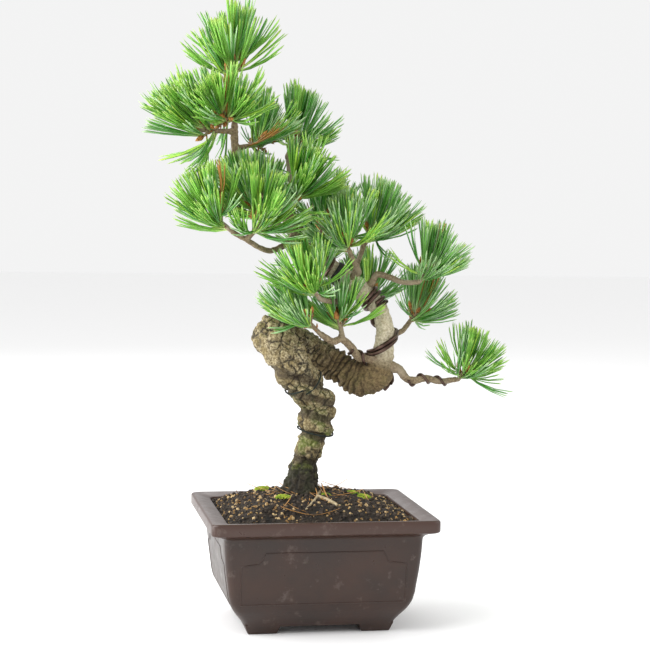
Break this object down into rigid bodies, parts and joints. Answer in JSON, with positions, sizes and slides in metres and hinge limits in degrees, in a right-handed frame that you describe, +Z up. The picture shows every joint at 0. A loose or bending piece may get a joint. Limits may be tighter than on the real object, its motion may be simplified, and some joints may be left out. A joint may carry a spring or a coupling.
{
  "type": "potted japanese white pine bonsai",
  "caption": "Wired bonsai white pine with a folded trunk, tufts of short needles on thin boughs, in a brown rectangular pot filled with mounded soil.",
  "frame": {"origin": "On the surface the pot stands on, under the middle of the whole plant's box; the pot's own middle is 8 mm to the left of it and 6 mm in front.", "axes": "+Z up through the plant's height, +X to the right along the pot's long side as pictured, -Y out of the front of the pot."},
  "size_m": [0.2494, 0.1468, 0.4131],
  "materials": {
    "pot_plastic": "satin moulded, brown",
    "soil_grit": "rough, dark, damp",
    "pine_bark": "plated bark below, smooth grey above",
    "pine_needles": "satin, green with pale inner faces",
    "wire_aluminium": "anodised brown",
    "pad_rubber": "matt black"
  },
  "bodies": {
    "root": {"bough_back_high": "pine_bark", "bough_back_low": "pine_bark", "bough_back_right": "pine_bark", "bough_centre": "pine_bark", "bough_centre_back": "pine_bark", "bough_front": "pine_bark", "bough_high_right": "pine_bark", "bough_left_high": "pine_bark", "bough_left_low": "pine_bark", "bough_low_left": "pine_bark", "bough_low_right": "pine_bark", "bough_lower_right": "pine_bark", "bough_upper_right": "pine_bark", "needles_back_high": "pine_needles", "needles_back_low": "pine_needles", "needles_back_right": "pine_needles", "needles_centre_high": "pine_needles", "needles_centre_left": "pine_needles", "needles_centre_right": "pine_needles", "needles_front": "pine_needles", "needles_high_right": "pine_needles", "needles_left_back": "pine_needles", "needles_left_high": "pine_needles", "needles_left_mid": "pine_needles", "needles_left_tip": "pine_needles", "needles_low_left": "pine_needles", "needles_low_middle": "pine_needles", "needles_lower_right": "pine_needles", "needles_mid_back": "pine_needles", "needles_right_tip": "pine_needles", "needles_top": "pine_needles", "needles_top_back": "pine_needles", "needles_top_front": "pine_needles", "needles_top_left": "pine_needles", "needles_top_right": "pine_needles", "needles_upper_right": "pine_needles", "pad_crown": "pad_rubber", "pad_high": "pad_rubber", "pot": "pot_plastic", "soil": "soil_grit", "trunk": "pine_bark", "wire_crown": "wire_aluminium", "wire_high": "wire_aluminium", "wire_low_left": "wire_aluminium", "wire_low_right": "wire_aluminium", "wire_ring": "wire_aluminium", "wire_riser": "wire_aluminium"}
  },
  "joints": []
}
